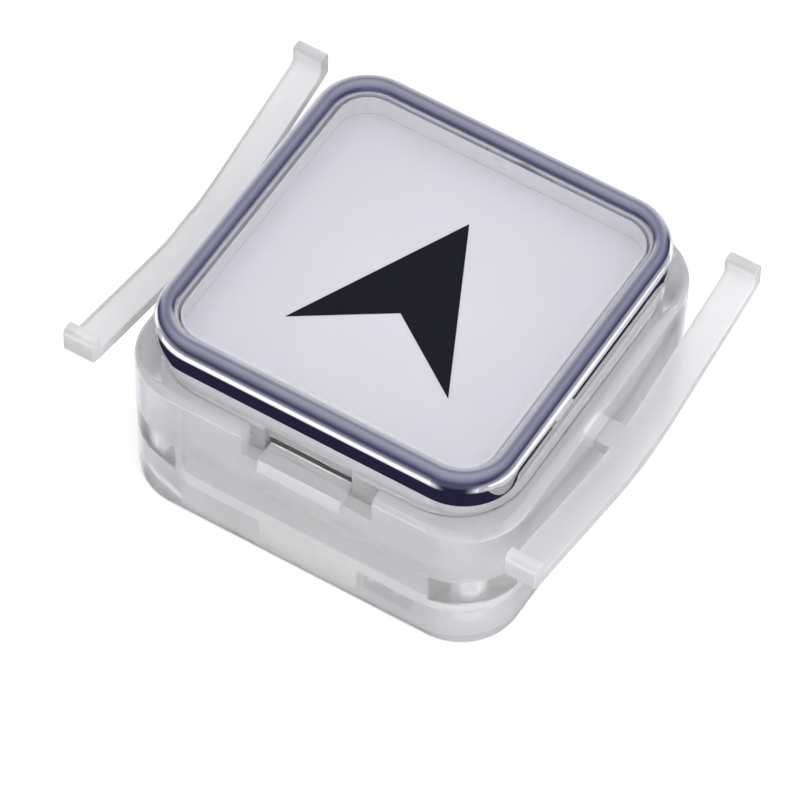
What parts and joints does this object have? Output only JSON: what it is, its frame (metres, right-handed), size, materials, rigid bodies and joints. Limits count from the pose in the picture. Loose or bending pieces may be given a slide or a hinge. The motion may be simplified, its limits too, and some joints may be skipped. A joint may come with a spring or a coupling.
{
  "type": "push button",
  "caption": "Square illuminated push button: chrome bezel, thick clear cap over a legend with an arrow, translucent clip-together housing and two bowed leaf-spring wings.",
  "frame": {"origin": "centre of the housing's back plane", "axes": "+Z out of the button's face, +Y the arrow's direction, +X to the right of the arrow, across the two wings"},
  "size_m": [0.048, 0.0396, 0.0222],
  "materials": {
    "milky_plastic": "translucent, lightly frosted",
    "chrome": "mirror plated",
    "clear_plastic": "clear, polished",
    "white_film": "matt",
    "black_print": "matt",
    "white_plastic": "matt",
    "board_laminate": "white solder mask",
    "black_plastic": "matt",
    "tinned_steel": "bright",
    "spring_steel": "drawn wire",
    "lamp_resin": "phosphor resin",
    "black_ceramic": "glazed",
    "dark_resin": "matt",
    "natural_nylon": "satin",
    "tinned_brass": "tin plated",
    "zinc_steel": "zinc plated"
  },
  "bodies": {
    "housing": {"housing_cup": "milky_plastic", "housing_collar": "milky_plastic", "chrome_bezel": "chrome", "return_spring_front_left": "spring_steel", "return_spring_front_right": "spring_steel", "return_spring_rear_left": "spring_steel", "return_spring_rear_right": "spring_steel", "circuit_board": "board_laminate", "switch_base": "black_plastic", "switch_cover": "tinned_steel", "switch_dome": "tinned_steel", "switch_legs": "tinned_steel", "led_bodies": "white_plastic", "led_lenses": "lamp_resin", "resistors": "black_ceramic", "rectifier": "dark_resin", "rectifier_leads": "tinned_steel", "connector_shell": "natural_nylon", "connector_pins": "tinned_brass", "board_screws": "zinc_steel"},
    "cap": {"clear_cap": "clear_plastic", "legend_plate": "white_film", "arrow_marker": "black_print", "light_diffuser": "white_plastic", "cap_carrier": "black_plastic"},
    "stem": {"switch_stem": "black_plastic"},
    "arm_front_left": {"wing_arm_front_left": "milky_plastic"},
    "arm_rear_left": {"wing_arm_rear_left": "milky_plastic"},
    "arm_front_right": {"wing_arm_front_right": "milky_plastic"},
    "arm_rear_right": {"wing_arm_rear_right": "milky_plastic"}
  },
  "joints": [
    {"name": "cap_press", "type": "slide", "parent": "housing", "child": "cap", "axis": [0, 0, -1], "range_m": [0, 0.0008], "stiffness_N_per_m": 900, "springref_m": -0.002, "deforming": ["return_spring_front_left", "return_spring_front_right", "return_spring_rear_left", "return_spring_rear_right"]},
    {"name": "stem_press", "type": "slide", "parent": "housing", "child": "stem", "axis": [0, 0, -1], "range_m": [0, 0.0008], "deforming": ["switch_dome"]},
    {"name": "arm_front_left_flex", "type": "hinge", "parent": "housing", "child": "arm_front_left", "pos_m": [-0.02245, -0.0021, 0.01245], "axis": [1, 0, 0], "range_deg": [0, 9], "stiffness_Nm_per_rad": 0.3},
    {"name": "arm_rear_left_flex", "type": "hinge", "parent": "housing", "child": "arm_rear_left", "pos_m": [-0.02245, 0.0021, 0.01245], "axis": [-1, 0, 0], "range_deg": [0, 9], "stiffness_Nm_per_rad": 0.3},
    {"name": "arm_front_right_flex", "type": "hinge", "parent": "housing", "child": "arm_front_right", "pos_m": [0.02245, -0.0021, 0.01245], "axis": [1, 0, 0], "range_deg": [0, 9], "stiffness_Nm_per_rad": 0.3},
    {"name": "arm_rear_right_flex", "type": "hinge", "parent": "housing", "child": "arm_rear_right", "pos_m": [0.02245, 0.0021, 0.01245], "axis": [-1, 0, 0], "range_deg": [0, 9], "stiffness_Nm_per_rad": 0.3}
  ],
  "couplings": [
    {"joint": "stem_press", "follows": "cap_press", "ratio": 1}
  ]
}
